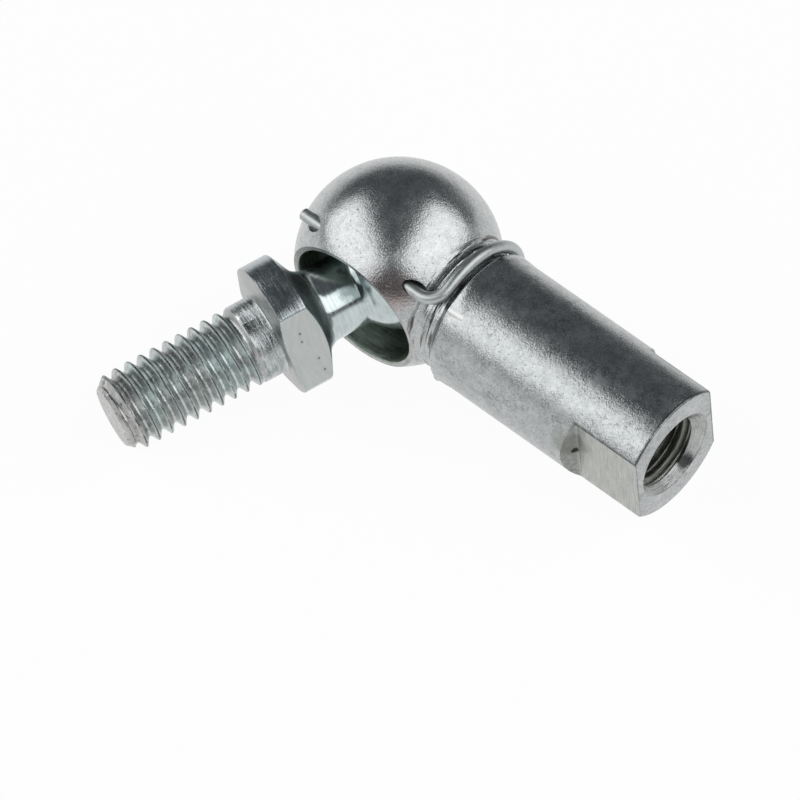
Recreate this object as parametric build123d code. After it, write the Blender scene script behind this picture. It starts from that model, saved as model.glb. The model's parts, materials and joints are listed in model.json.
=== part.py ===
from build123d import *
from math import acos, asin, atan2, cos, degrees, hypot, pi, radians, sin, sqrt, tan
import os

# Angle ball joint for an M6 rod end, in millimetres.
#
# A ball stud turns in a cup that is bored into the side of a round socket. A sprung wire clip
# passes through the wall of the cup in front of the ball and is wrapped around the neck of the
# socket, so the ball can't come out. Each piece is drawn in the socket's own frame: its origin
# is the centre of the ball, +X runs along the shank and -Y looks out of the mouth of the cup.
# The assembly is then laid down as it rests on a flat surface, on the head of the socket, the
# rim of the shank and the thread of the stud.

# ---- Ball and swivel ----------------------------------------------------------------------
ball_diameter = 10.0
cup_clearance = 0.05            # all round, between the ball and its cup
swivel_angle = 19.25            # each way from square, in the plane of the shank
cross_tilt = 3.0                # dip of the stud out of that plane, as it lies at rest
stud_spin = 22.5                # turn of the stud about its own axis, as it lies at rest

# ---- Ball stud ----------------------------------------------------------------------------
stud_length = 22.85             # centre of the ball to the tip
thread_diameter = 5.9           # over the crests of a plated M6 thread
tip_chamfer = 0.75
collar_face = 10.5              # centre of the ball to the seat of the collar
collar_diameter = 9.74
collar_rim_width = 2.13         # of the collar's round rim, between its two bevels
collar_across_flats = 7.5       # over the two spanner flats
collar_washer_diameter = 7.8    # the round left flat on the seat
seat_bevel_angle = 17.2         # from the seat to the rim
back_bevel_angle = 26.0         # from the rim to the neck
neck_diameter = 5.5
collar_fillet = 1.2             # between the neck and the collar's back bevel
ball_fillet = 0.8               # between the neck and the ball

# ---- Socket -------------------------------------------------------------------------------
head_diameter = 14.6
shank_diameter = 10.15
socket_length = 25.15           # centre of the ball to the end of the shank
mouth_height = 4.8              # centre of the ball to the flat rim of the cup
mouth_chamfer = 0.12
rim_relief = 0.15               # how far the facing cut of the rim runs past the rim

groove_start = 5.3              # where the neck's groove leaves the head
groove_end = 7.2
groove_diameter = 9.24
groove_wall = 0.3               # run of the groove's sloping sides
ridge_height = 0.1              # left between the two passes of the grooving tool
ridge_width = 0.3
shoulder_break = 0.3            # the shank's broken shoulder, beside the groove
lip_height = 0.07               # the shank swells a little behind that shoulder
lip_length = 1.1

end_chamfer = 0.15
across_flats = 7.8
flat_length = 5.4
flat_runout = 0.6               # sloping start of each flat

thread_core_diameter = 5.0      # M6 internal thread, over its crests
drill_depth = 13.5
drill_point_angle = 118.0
countersink_diameter = 6.7

# ---- Safety clip --------------------------------------------------------------------------
wire_diameter = 0.9
wire_chamfer = 0.1              # of the wire's cut ends
bend_radius = 1.4               # of the wire's centre line, between the leg and the ring
clip_clearance = 0.05           # between the wire and the ball
clip_angle = 35.4               # of the leg, from the top of the shank towards the mouth
leg_overhang = 0.85             # how far the leg stands out of the far side of the head
ring_diameter = 10.4            # of the wire's centre line, around the neck
ring_station = 6.5              # from the centre of the ball
ring_end_angle = 225.0          # from the top of the neck, around the side behind the cup
hole_diameter = 1.24            # drilled through the cup's wall for the leg
hole_shift = 0.06               # the hole is drilled a little wide of the leg
hole_turn = 1.0                 # and by this angle nearer the top of the shank
drill_graze = 1.4               # how far the same drill scores the shank, past the groove

ball_radius = ball_diameter / 2
head_radius = head_diameter / 2
shank_radius = shank_diameter / 2
groove_radius = groove_diameter / 2
wire_radius = wire_diameter / 2
cup_radius = ball_radius + cup_clearance
overshoot = 1.0                 # cutting bodies run this far past the faces they open


def revolved(points_and_arcs, axis):
    """A solid of revolution from the closed half-section given as a list of edges."""
    return revolve(make_face(Wire(points_and_arcs)), axis=axis)


def chain(*points):
    """Straight edges from each point to the next one."""
    return [Line(a, b) for a, b in zip(points, points[1:])]


# ---- Socket -------------------------------------------------------------------------------
def socket_blank():
    """The turned and headed blank: a ball head, a grooved neck and a round shank."""
    middle = (groove_start + groove_end) / 2
    crown = shank_radius + lip_height
    rise = radians(45)
    head_end = (groove_start, sqrt(head_radius**2 - groove_start**2))
    head = ThreePointArc(
        (-head_radius, 0), (-head_radius * cos(rise), head_radius * sin(rise)), head_end
    )
    outline = chain(
        head_end,
        (groove_start + groove_wall, groove_radius),
        (middle - ridge_width / 2, groove_radius),
        (middle, groove_radius + ridge_height),
        (middle + ridge_width / 2, groove_radius),
        (groove_end - groove_wall, groove_radius),
        (groove_end, crown - shoulder_break),
        (groove_end + shoulder_break, crown),
        (groove_end + shoulder_break + lip_length, shank_radius),
        (socket_length - end_chamfer, shank_radius),
        (socket_length, shank_radius - end_chamfer),
        (socket_length, 0),
        (-head_radius, 0),
    )
    return revolved([head, *outline], Axis.X)


def cup_cut():
    """The cup: a hemisphere under the ball, and a bore up to the faced and broken rim."""
    bottom = ThreePointArc(
        (0, cup_radius), (cup_radius * cos(pi / 4), cup_radius * sin(pi / 4)), (cup_radius, 0)
    )
    side = chain(
        (cup_radius, 0),
        (cup_radius, mouth_chamfer - mouth_height),
        (cup_radius + mouth_chamfer, -mouth_height),
        (0, -mouth_height),
        (0, cup_radius),
    )
    bore = revolved([bottom, *side], Axis.Y)
    rim_radius = sqrt(head_radius**2 - mouth_height**2) + rim_relief
    facing = Plane.XZ.offset(mouth_height) * Circle(rim_radius)
    return bore + extrude(facing, head_radius - mouth_height + overshoot)


def thread_cut():
    """The tapped hole, at core size, with its countersink and the point of its drill."""
    core = thread_core_diameter / 2
    sink = countersink_diameter / 2
    bottom = socket_length - drill_depth
    point = bottom - core / tan(radians(drill_point_angle / 2))
    return revolved(
        chain(
            (point, 0),
            (bottom, core),
            (socket_length - (sink - core), core),
            (socket_length, sink),
            (socket_length + overshoot, sink),
            (socket_length + overshoot, 0),
            (point, 0),
        ),
        Axis.X,
    )


def flat_cut(side):
    """One spanner flat, on side +1 or -1, with the sloping run-out at its start."""
    low = across_flats / 2
    high = shank_radius + overshoot
    start = socket_length - flat_length
    slope = (shank_radius - low) / flat_runout
    section = Polyline(
        (start, side * low),
        (socket_length + overshoot, side * low),
        (socket_length + overshoot, side * high),
        (start - (high - low) / slope, side * high),
        close=True,
    )
    return extrude(make_face(section), amount=high, both=True)


def around_shank(radius, angle, station=0.0):
    """The point at a radius and a station on the shank, angle degrees from +Z towards +Y."""
    return Vector(station, radius * sin(radians(angle)), radius * cos(radians(angle)))


def clip_hole_cut():
    """The drilled way for the clip's leg. The drill scores the shank beside the groove."""
    centre = leg_radius + hole_shift
    start = around_shank(centre, hole_turn - clip_angle, -head_radius)
    reach = head_radius + groove_end + drill_graze
    return extrude(Plane(start, z_dir=(1, 0, 0)) * Circle(hole_diameter / 2), reach)


def make_socket():
    socket = socket_blank() - cup_cut() - thread_cut() - flat_cut(1) - flat_cut(-1)
    return socket - clip_hole_cut()


# ---- Safety clip --------------------------------------------------------------------------
leg_radius = ball_radius + clip_clearance + wire_radius


def make_clip():
    """One wire: a leg through the cup, a bend, and a ring around the neck."""
    along = Vector(1, 0, 0)
    corner = around_shank(leg_radius, -clip_angle, ring_station)
    ring_centre = Vector(ring_station, 0, 0)
    ring_radius = ring_diameter / 2
    from_centre = corner - ring_centre
    distance = from_centre.length
    corner_angle = degrees(atan2(from_centre.Y, from_centre.Z))
    first_angle = corner_angle + degrees(acos(ring_radius / distance))

    def on_ring(angle):
        return around_shank(ring_radius, angle) + ring_centre

    ring_start = on_ring(first_angle)
    heading = (ring_start - corner).normalized()
    bend_start = corner - along * bend_radius
    bend_end = corner + heading * bend_radius
    bend_centre = bend_start + heading * bend_radius
    bend_middle = bend_centre + (along - heading).normalized() * bend_radius

    wall_run = sqrt(head_radius**2 - leg_radius**2)
    leg_end = around_shank(leg_radius, -clip_angle, -wall_run - leg_overhang)
    path = Wire(
        [
            Line(leg_end, bend_start),
            ThreePointArc(bend_start, bend_middle, bend_end),
            Line(bend_end, ring_start),
            ThreePointArc(ring_start, on_ring((first_angle + ring_end_angle) / 2), on_ring(ring_end_angle)),
        ]
    )
    wire = sweep(Plane(leg_end, z_dir=along) * Circle(wire_radius), path=path)
    cut_ends = wire.faces().filter_by(GeomType.PLANE)
    return chamfer(cut_ends.edges(), wire_chamfer)


# ---- Ball stud ----------------------------------------------------------------------------
def make_stud():
    """The stud, standing on the ball: its axis is +Z and the thread points up."""
    neck = neck_diameter / 2
    rim = collar_diameter / 2
    washer = collar_washer_diameter / 2
    thread = thread_diameter / 2
    rim_front = collar_face - (rim - washer) * tan(radians(seat_bevel_angle))
    rim_back = rim_front - collar_rim_width

    root = neck + ball_fillet
    root_height = sqrt((ball_radius + ball_fillet) ** 2 - root**2)
    root_turn = atan2(root_height, root)

    def on_root(turn):
        return (root - ball_fillet * cos(turn), root_height - ball_fillet * sin(turn))

    ball = ThreePointArc((0, -ball_radius), (ball_radius, 0), on_root(root_turn))
    ball_blend = ThreePointArc(on_root(root_turn), on_root(root_turn / 2), on_root(0))

    bevel = radians(back_bevel_angle)
    back = neck + collar_fillet
    back_height = rim_back - (rim - back) * tan(bevel) - collar_fillet / cos(bevel)
    back_turn = pi / 2 - bevel

    def on_back(turn):
        return (back - collar_fillet * cos(turn), back_height + collar_fillet * sin(turn))

    neck_side = chain(on_root(0), on_back(0))
    collar_blend = ThreePointArc(on_back(0), on_back(back_turn / 2), on_back(back_turn))
    collar_and_thread = chain(
        on_back(back_turn),
        (rim, rim_back),
        (rim, rim_front),
        (washer, collar_face),
        (thread, collar_face),
        (thread, stud_length - tip_chamfer),
        (thread - tip_chamfer, stud_length),
        (0, stud_length),
        (0, -ball_radius),
    )
    outline = [ball, ball_blend, *neck_side, collar_blend, *collar_and_thread]
    blank = revolved([edge.rotate(Axis.X, 90) for edge in outline], Axis.Z)
    return blank - spanner_cut(1, rim_back) - spanner_cut(-1, rim_back)


def spanner_cut(side, rim_back):
    """One spanner flat of the collar, on side +1 or -1 of the stud."""
    low = collar_across_flats / 2
    depth = collar_diameter / 2 + overshoot - low
    bottom = rim_back - (collar_diameter / 2 - low) * tan(radians(back_bevel_angle)) - overshoot
    height = collar_face + overshoot - bottom
    middle = Pos(side * (low + depth / 2), 0, bottom + height / 2)
    return middle * Box(depth, collar_diameter + overshoot, height)


# ---- How it lies --------------------------------------------------------------------------
def droop(reach, radius):
    """How far an axis through the head's centre dips when a round rim on it meets the floor."""
    return asin(head_radius / hypot(reach, radius)) - atan2(radius, reach)


def stud_pose():
    """The stud in the socket's frame, leaning away from the shank as far as the mouth lets it."""
    return Rot(0, 0, -swivel_angle) * Rot(cross_tilt, 0, 0) * Rot(90, 0, 0) * Rot(0, 0, stud_spin)


def rest_pose():
    """The socket's frame as it lies on the floor, before the origin is moved under the middle."""
    shank_dip = droop(socket_length - end_chamfer, shank_radius)
    stud_dip = droop(stud_length - tip_chamfer, thread_diameter / 2)
    lean = Vector(0, -1, 0).rotate(Axis.X, cross_tilt).rotate(Axis.Z, -swivel_angle)
    drop = (sin(stud_dip) - sin(shank_dip) * lean.X) / cos(shank_dip)
    roll = atan2(lean.Z, -lean.Y) + asin(drop / hypot(lean.Y, lean.Z))
    return Pos(0, 0, head_radius) * Rot(0, degrees(shank_dip), 0) * Rot(degrees(roll), 0, 0)


def assembly():
    """The three pieces by name, lying at rest with the origin under the middle of their box."""
    lying = rest_pose()
    pieces = {
        "ball_socket": lying * make_socket(),
        "ball_stud": lying * stud_pose() * make_stud(),
        "safety_clip": lying * make_clip(),
    }
    corners = [piece.bounding_box() for piece in pieces.values()]
    middle_x = (min(box.min.X for box in corners) + max(box.max.X for box in corners)) / 2
    middle_y = (min(box.min.Y for box in corners) + max(box.max.Y for box in corners)) / 2
    return {name: Pos(-middle_x, -middle_y, 0) * piece for name, piece in pieces.items()}


os.makedirs("parts", exist_ok=True)
for name, piece in assembly().items():
    export_step(piece.solid(), f"parts/{name}.step")
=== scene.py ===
"""Looks of an angle ball joint: a plated socket, a ball stud and a sprung wire clip."""

import json
import logging
import math
from dataclasses import dataclass
from enum import Enum, IntEnum
from typing import Any, Callable, Optional, Sequence, Union

import bmesh
import bpy
import numpy as np
from mathutils import Matrix, Vector

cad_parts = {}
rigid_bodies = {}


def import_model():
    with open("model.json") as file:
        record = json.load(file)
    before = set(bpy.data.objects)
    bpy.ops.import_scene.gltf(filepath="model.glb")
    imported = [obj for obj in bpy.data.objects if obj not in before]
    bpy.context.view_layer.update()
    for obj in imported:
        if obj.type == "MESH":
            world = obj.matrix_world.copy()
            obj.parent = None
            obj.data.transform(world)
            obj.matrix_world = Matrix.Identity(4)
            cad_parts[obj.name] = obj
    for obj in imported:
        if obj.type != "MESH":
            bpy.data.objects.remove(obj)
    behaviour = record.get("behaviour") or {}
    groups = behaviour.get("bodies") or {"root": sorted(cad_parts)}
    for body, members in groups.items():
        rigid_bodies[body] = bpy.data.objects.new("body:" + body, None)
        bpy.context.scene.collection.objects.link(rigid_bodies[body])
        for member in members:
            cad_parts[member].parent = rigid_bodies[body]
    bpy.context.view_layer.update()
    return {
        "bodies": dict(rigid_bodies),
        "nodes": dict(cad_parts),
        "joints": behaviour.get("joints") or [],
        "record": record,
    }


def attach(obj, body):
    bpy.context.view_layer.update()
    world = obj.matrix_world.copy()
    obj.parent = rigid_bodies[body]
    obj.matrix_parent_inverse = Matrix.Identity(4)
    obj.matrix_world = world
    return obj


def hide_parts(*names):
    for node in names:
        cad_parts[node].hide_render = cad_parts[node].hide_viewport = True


LOG = logging.getLogger("angle_joint")
MM = 0.001
WELD = 2e-4
SLIVER = 1e-5
Colour = tuple[float, float, float]
Point = tuple[float, float, float]
Profile = list[tuple[float, float]]


# ---- Places -------------------------------------------------------------------------------


@dataclass(frozen=True)
class Place:
    """A right-handed set of axes with an origin, in metres, that a piece is drawn in."""

    origin: Vector
    x: Vector
    y: Vector
    z: Vector

    def matrix(self) -> Matrix:
        """The matrix from this place's own millimetres to the row's metres."""
        turn = Matrix((self.x, self.y, self.z)).transposed().to_4x4()
        return Matrix.Translation(self.origin) @ turn @ Matrix.Scale(MM, 4)

    @staticmethod
    def of_socket(frame: dict[str, Any]) -> "Place":
        """The socket's axes: x along the shank, y away from the mouth, z along the swivel.


        Returns:
            The place, with its origin in the centre of the ball.
        """
        joint = frame["joints"][0]
        along = Vector(mount(frame, "rod_thread")["axis"]).normalized()
        swivel = Vector(joint["axis"]).normalized()
        return Place(Vector(joint["pos_m"]), along, swivel.cross(along), swivel)

    @staticmethod
    def of_stud(frame: dict[str, Any], spin: float) -> "Place":
        """The stud's axes: z along it towards the thread's tip.

        Args:
            spin: How far the collar's flats are turned about the stud's axis, in degrees.

        Returns:
            The place, with its origin in the centre of the ball.
        """
        joint = frame["joints"][0]
        up = Vector(mount(frame, "stud_thread")["axis"]).normalized()
        side = Vector(joint["axis"]).cross(up).normalized()
        side = Matrix.Rotation(math.radians(spin), 3, up) @ side
        return Place(Vector(joint["pos_m"]), side, up.cross(side), up)


def mount(frame: dict[str, Any], name: str) -> dict[str, Any]:
    """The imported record's mount of that name."""
    return next(m for m in frame["record"]["mounts"] if m["name"] == name)


# ---- Mesh tools ---------------------------------------------------------------------------


class Turning(Enum):
    """Which of a place's axes a turned form is turned about."""

    SHANK = "x"
    MOUTH = "-y"
    STUD = "z"

    def point(self, height: np.ndarray, radius: np.ndarray, angle: np.ndarray) -> np.ndarray:
        """Points of a turned form.

        Args:
            height: How far along the axis each point lies.
            radius: How far from the axis it lies.
            angle: Its angle about the axis, in radians.

        Returns:
            The points, as rows of x, y, z.
        """
        a, b = radius * np.cos(angle), radius * np.sin(angle)
        if self is Turning.SHANK:
            return np.stack([height + 0 * a, b, a], -1)
        if self is Turning.MOUTH:
            return np.stack([a, -height + 0 * a, b], -1)
        return np.stack([a, b, height + 0 * a], -1)


def arc(
    centre: tuple[float, float], radius: float, start: float, end: float, steps: int
) -> Profile:
    """Points on a circular arc, from one angle to another, in degrees."""
    angles = [math.radians(start + (end - start) * i / steps) for i in range(steps + 1)]
    return [(centre[0] + radius * math.cos(a), centre[1] + radius * math.sin(a)) for a in angles]


def welded(
    name: str, points: Sequence[Sequence[float]], faces: Sequence[Sequence[int]]
) -> bpy.types.Mesh:
    """A mesh whose doubled points are joined and whose faces look outward.

    Args:
        name: The mesh's name.
        points: Rows of x, y, z.
        faces: The numbers of the points around each face.

    Returns:
        The mesh, with no face of no area.
    """
    mesh = bpy.data.meshes.new(name)
    mesh.from_pydata(points, [], faces)
    work = bmesh.new()
    work.from_mesh(mesh)
    bmesh.ops.remove_doubles(work, verts=work.verts, dist=WELD)
    bmesh.ops.dissolve_degenerate(work, edges=work.edges, dist=SLIVER)
    bmesh.ops.recalc_face_normals(work, faces=work.faces)
    work.to_mesh(mesh)
    work.free()
    return mesh


def rows_mesh(name: str, rows: np.ndarray, meets: Optional[np.ndarray] = None) -> bpy.types.Mesh:
    """A mesh from rings of points, each joined to the next.

    Args:
        name: The mesh's name.
        rows: Rings by columns by three. An end ring that has shrunk to one point closes that end.
        meets: Which ring each ring runs into after its last column, where that isn't itself.

    Returns:
        The welded mesh.
    """
    rings, columns = rows.shape[:2]
    index = np.arange(rings * columns).reshape(rings, columns)
    after = np.roll(index, -1, 1)
    if meets is not None:
        after[:, -1] = index[meets, 0]
    quads = np.stack([index[:-1], after[:-1], after[1:], index[1:]], -1).reshape(-1, 4)
    return welded(name, rows.reshape(-1, 3).tolist(), quads.tolist())


def turned(name: str, profile: Profile, axis: Turning, columns: int) -> bpy.types.Mesh:
    """A form of revolution, closed where its profile starts or ends on the axis.

    Args:
        name: The mesh's name.
        profile: Heights and radii.
        axis: The axis that it is turned about.
        columns: How many points each ring has.

    Returns:
        The mesh.
    """
    height = np.array([p[0] for p in profile])[:, None]
    radius = np.array([p[1] for p in profile])[:, None]
    angle = np.linspace(0, 2 * math.pi, columns, endpoint=False)[None, :]
    return rows_mesh(name, axis.point(height, radius, angle))


def as_object(data: bpy.types.ID, name: str) -> bpy.types.Object:
    """A new object in the scene.

    Args:
        data: The mesh, the lamp or the camera that it shows.
        name: The object's name.

    Returns:
        The object.
    """
    made = bpy.data.objects.new(name, data)
    bpy.context.scene.collection.objects.link(made)
    return made


def carve(body: bpy.types.Object, cutters: Sequence[bpy.types.Object]) -> None:
    """Cuts each cutter out of a body. The cut faces take the cutter's finish.

    Args:
        body: The object that is cut, still in its place's millimetres.
        cutters: Closed forms, which are deleted afterwards.
    """
    for cutter in cutters:
        cut = body.modifiers.new(cutter.name, "BOOLEAN")
        cut.operation = "DIFFERENCE"
        cut.solver = "EXACT"
        cut.material_mode = "TRANSFER"
        cut.object = cutter
    bpy.context.view_layer.update()
    result = bpy.data.meshes.new_from_object(
        body.evaluated_get(bpy.context.evaluated_depsgraph_get())
    )
    body.modifiers.clear()
    body.data = result
    for cutter in cutters:
        bpy.data.objects.remove(cutter)


def settle(piece: bpy.types.Object, place: Place, sharp: float) -> None:
    """Moves a finished mesh from its own millimetres into the row and shades it.

    Args:
        piece: The object, whose place stays in its mesh.
        place: The axes that it was drawn in.
        sharp: The angle in degrees from which an edge stays sharp.
    """
    piece.data.transform(place.matrix())
    piece.data.shade_smooth()
    piece.data.set_sharp_from_angle(angle=math.radians(sharp))
    piece.data.update()


@dataclass(frozen=True)
class Thread:
    """A metric screw thread, cut or rolled on a turned form, in millimetres."""

    pitch: float
    crest: float
    root: float
    crest_flat: float
    root_flat: float

    def stations(self) -> list[tuple[float, float]]:
        """The outline of one pitch, with its edges rounded by a few points.

        Returns:
            Offsets along the thread and a depth share at each, 0 on the crest and 1 at the root.
        """
        top, low = self.crest_flat / 2, self.pitch / 2 - self.root_flat / 2
        outline = [(0.0, 0.0), (0.7 * top, 0.01), (top + 0.02, 0.06), (0.5 * (top + low), 0.48)]
        outline += [(low - 0.03, 0.88), (low + 0.03, 0.97), (self.pitch / 2, 1.0)]
        back = [(self.pitch - x, d) for x, d in reversed(outline[1:-1])]
        return outline + back

    def meets(self, before: int, rings: int, behind: int) -> np.ndarray:
        """Which ring each ring runs into after one turn: on the thread, the one a pitch further on.

        Args:
            before: How many plain rings come before the thread's.
            rings: How many rings the thread has.
            behind: How many plain rings come behind it.

        Returns:
            A ring's number for each ring.
        """
        own = np.arange(before + rings + behind)
        last = before + rings - 1
        on_thread = (own >= before) & (own <= last)
        return np.where(on_thread, np.minimum(own + len(self.stations()), last), own)

    def rows(
        self,
        start: float,
        end: float,
        phase: float,
        angle: np.ndarray,
        share: Callable[[np.ndarray], np.ndarray],
    ) -> tuple[np.ndarray, np.ndarray]:
        """Heights and radii of rings that follow the thread's helix between two heights.

        Args:
            start: The height where the first ring lies flat.
            end: The height where the last ring lies flat.
            phase: The height of a crest at angle 0.
            angle: The columns' angles, from 0 to a full turn.
            share: Gives the depth that the thread has at a height, from 0 to 1.

        Returns:
            Heights and radii, rings by columns.
        """
        first = math.floor((start - phase) / self.pitch) - 2
        last = math.ceil((end - phase) / self.pitch) + 1
        turns, stations = range(first, last), self.stations()
        offsets = np.array([(n * self.pitch + x, d) for n in turns for x, d in stations])
        turn = angle[None, :] / (2 * math.pi)
        height = np.clip(phase + offsets[:, :1] + self.pitch * turn, start, end)
        depth = (offsets[:, 1:] + 0 * turn) * share(height)
        return height, self.crest + (self.root - self.crest) * depth


# ---- Shader tools -------------------------------------------------------------------------

Value = Union["Wire", float, int, Sequence[float]]


class Wire:
    """A node's output socket that takes part in Python arithmetic."""

    def __init__(self, sheet: "Sheet", socket: bpy.types.NodeSocket) -> None:
        """Wraps a socket of a sheet."""
        self.sheet = sheet
        self.socket = socket

    def _join(self, operation: str, first: Value, second: Value) -> "Wire":
        """Adds the node that works out one operation on numbers or on vectors.

        Args:
            operation: The node's operation.
            first: Its first value.
            second: Its second value.

        Returns:
            The result.
        """
        vector = any(isinstance(v, Wire) and v.socket.type == "VECTOR" for v in (first, second))
        kind = "ShaderNodeVectorMath" if vector else "ShaderNodeMath"
        if vector:
            pair = (first, second)
            first, second = [(v, v, v) if isinstance(v, (int, float)) else v for v in pair]
        return self.sheet.node(kind, {"operation": operation}, {0: first, 1: second})

    def __add__(self, other: Value) -> "Wire":
        """self + other."""
        return self._join("ADD", self, other)

    __radd__ = __add__

    def __sub__(self, other: Value) -> "Wire":
        """self - other."""
        return self._join("SUBTRACT", self, other)

    def __rsub__(self, other: Value) -> "Wire":
        """other - self."""
        return self._join("SUBTRACT", other, self)

    def __mul__(self, other: Value) -> "Wire":
        """self * other."""
        return self._join("MULTIPLY", self, other)

    __rmul__ = __mul__

    def __truediv__(self, other: Value) -> "Wire":
        """self / other."""
        return self._join("DIVIDE", self, other)

    def __rtruediv__(self, other: Value) -> "Wire":
        """other / self."""
        return self._join("DIVIDE", other, self)

    def __pow__(self, other: Value) -> "Wire":
        """self to the power of other."""
        return self._join("POWER", self, other)

    def __rpow__(self, other: Value) -> "Wire":
        """other to the power of self."""
        return self._join("POWER", other, self)

    def at_least(self, other: Value) -> "Wire":
        """The larger of the two."""
        return self._join("MAXIMUM", self, other)

    def ramp(self, low: float, high: float, start: float = 0.0, end: float = 1.0) -> "Wire":
        """Goes smoothly from start to end as this value goes from low to high."""
        return self.sheet.node(
            "ShaderNodeMapRange",
            {"interpolation_type": "SMOOTHSTEP"},
            {"Value": self, "From Min": low, "From Max": high, "To Min": start, "To Max": end},
        )


class Sheet:
    """A node tree that nodes are added to by name."""

    def __init__(self, tree: bpy.types.NodeTree) -> None:
        """Empties the tree."""
        self.tree = tree
        tree.nodes.clear()

    def node(
        self,
        kind: str,
        settings: Optional[dict[str, Any]] = None,
        inputs: Optional[dict[Union[int, str], Value]] = None,
        output: Union[int, str] = 0,
    ) -> Wire:
        """Adds any node.

        Args:
            kind: The node's type, such as ShaderNodeMath.
            settings: Its own properties, such as a Math node's operation, set before its sockets.
            inputs: Values or wires of its input sockets, by number or name.
            output: Which output is returned.

        Returns:
            The output, ready for more arithmetic.
        """
        made = self.tree.nodes.new(kind)
        for name, value in (settings or {}).items():
            setattr(made, name, value)
        for key, value in (inputs or {}).items():
            if isinstance(value, Wire):
                self.tree.links.new(value.socket, made.inputs[key])
            else:
                made.inputs[key].default_value = value
        return Wire(self, made.outputs[output]) if made.outputs else Wire(self, made.inputs[0])

    def where(self) -> Wire:
        """The point on the surface, in the row's metres."""
        return self.node("ShaderNodeTexCoord", output="Object")

    def along(self, place: Place, axis: Vector) -> Wire:
        """How far the point lies from a place's origin along an axis.

        Args:
            place: The axes, whose origin counts as 0.
            axis: The direction.

        Returns:
            The distance, in millimetres.
        """
        at = {0: self.where(), 1: axis}
        dot = self.node("ShaderNodeVectorMath", {"operation": "DOT_PRODUCT"}, at, "Value")
        return (dot - place.origin.dot(axis)) / MM

    def axes(self, place: Place) -> list[Wire]:
        """The point's x, y and z in a place's millimetres."""
        return [self.along(place, axis) for axis in (place.x, place.y, place.z)]

    def vector(self, x: Value, y: Value, z: Value) -> Wire:
        """Three numbers as one vector."""
        return self.node("ShaderNodeCombineXYZ", None, {0: x, 1: y, 2: z})

    def noise(
        self, size: float, detail: float = 2.0, rough: float = 0.5, at: Optional[Wire] = None
    ) -> Wire:
        """Soft noise about 0.5.

        Args:
            size: The size of its grains, in the units of at.
            detail: How many finer layers it has.
            rough: How strong those are.
            at: The point it is read at, or else the surface's point in metres.

        Returns:
            The noise as one value.
        """
        return self.node(
            "ShaderNodeTexNoise",
            {"noise_dimensions": "3D"},
            {"Vector": at or self.where(), "Scale": 1 / size, "Detail": detail, "Roughness": rough},
            "Fac",
        )

    def near(self, place: Place, spot: Point, radius: float) -> Wire:
        """A ragged spot.

        Args:
            place: The axes that the spot is given in.
            spot: Its centre, in the place's millimetres.
            radius: The radius at which it has faded out, in millimetres.

        Returns:
            1 in the middle of the spot and 0 outside it.
        """
        ends = {0: self.where(), 1: place.matrix() @ Vector(spot)}
        away = self.node("ShaderNodeVectorMath", {"operation": "DISTANCE"}, ends, "Value")
        ragged = away / MM + radius * (self.noise(0.5 * radius * MM, 3, 0.6) - 0.5)
        return ragged.ramp(0.35 * radius, radius, 1.0, 0.0)

    def mix(self, share: Value, first: Value, second: Value) -> Wire:
        """A colour between two, by a share."""
        colours = {0: share, 6: opaque(first), 7: opaque(second)}
        return self.node("ShaderNodeMix", {"data_type": "RGBA"}, colours, 2)

    def bump(self, height: Wire, depth: float) -> Wire:
        """A normal bent by a height, whose full depth is in millimetres."""
        return self.node(
            "ShaderNodeBump", None, {"Strength": 1.0, "Distance": depth * MM, "Height": height}
        )


def opaque(colour: Value) -> Value:
    """A colour with its alpha, or a wire as it is."""
    return (*colour, 1.0) if isinstance(colour, (tuple, list)) else colour


# ---- Finishes -----------------------------------------------------------------------------


Surface = tuple[Value, Value, Optional[Wire]]


@dataclass(frozen=True, kw_only=True)
class Finish:
    """A metal finish: its pale and its dark colour, and how rough it is."""

    name: str
    light: Colour
    dark: Colour
    gloss: float

    def surface(self, sheet: Sheet) -> Surface:
        """The colour, the roughness and the normal. This plain one has fine grain only."""
        grain = sheet.noise(0.12 * MM, 3)
        return sheet.mix(grain, self.dark, self.light), self.gloss + 0.1 * (grain - 0.5), None

    def material(self) -> bpy.types.Material:
        """The material, made once and reused by its name.

        Returns:
            The material.
        """
        found = bpy.data.materials.get(self.name)
        if found:
            return found
        made = bpy.data.materials.new(self.name)
        made.use_nodes = True
        sheet = Sheet(made.node_tree)
        colour, gloss, normal = self.surface(sheet)
        inputs: dict[Union[int, str], Value] = {
            "Base Color": opaque(colour),
            "Metallic": 1.0,
            "Roughness": gloss,
        }
        if normal:
            inputs["Normal"] = normal
        shader = sheet.node("ShaderNodeBsdfPrincipled", None, inputs)
        sheet.node("ShaderNodeOutputMaterial", None, {"Surface": shader})
        return made


@dataclass(frozen=True)
class Spot:
    """A stained or bruised spot on a surface, in its place's millimetres."""

    centre: Point
    radius: float
    colour: Colour
    share: float


@dataclass(frozen=True, kw_only=True)
class MarkedZinc(Finish):
    """Plating with relief of a stated depth and with spots at stated points."""

    place: Place
    depth: float
    spots: tuple[Spot, ...] = ()

    def marked(self, sheet: Sheet, colour: Wire) -> Wire:
        """The spots, laid over a colour.

        Args:
            sheet: The material's node tree.
            colour: The colour under the spots.

        Returns:
            The colour with the spots on it.
        """
        for spot in self.spots:
            share = sheet.near(self.place, spot.centre, spot.radius) * spot.share
            colour = sheet.mix(share, colour, spot.colour)
        return colour


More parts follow.
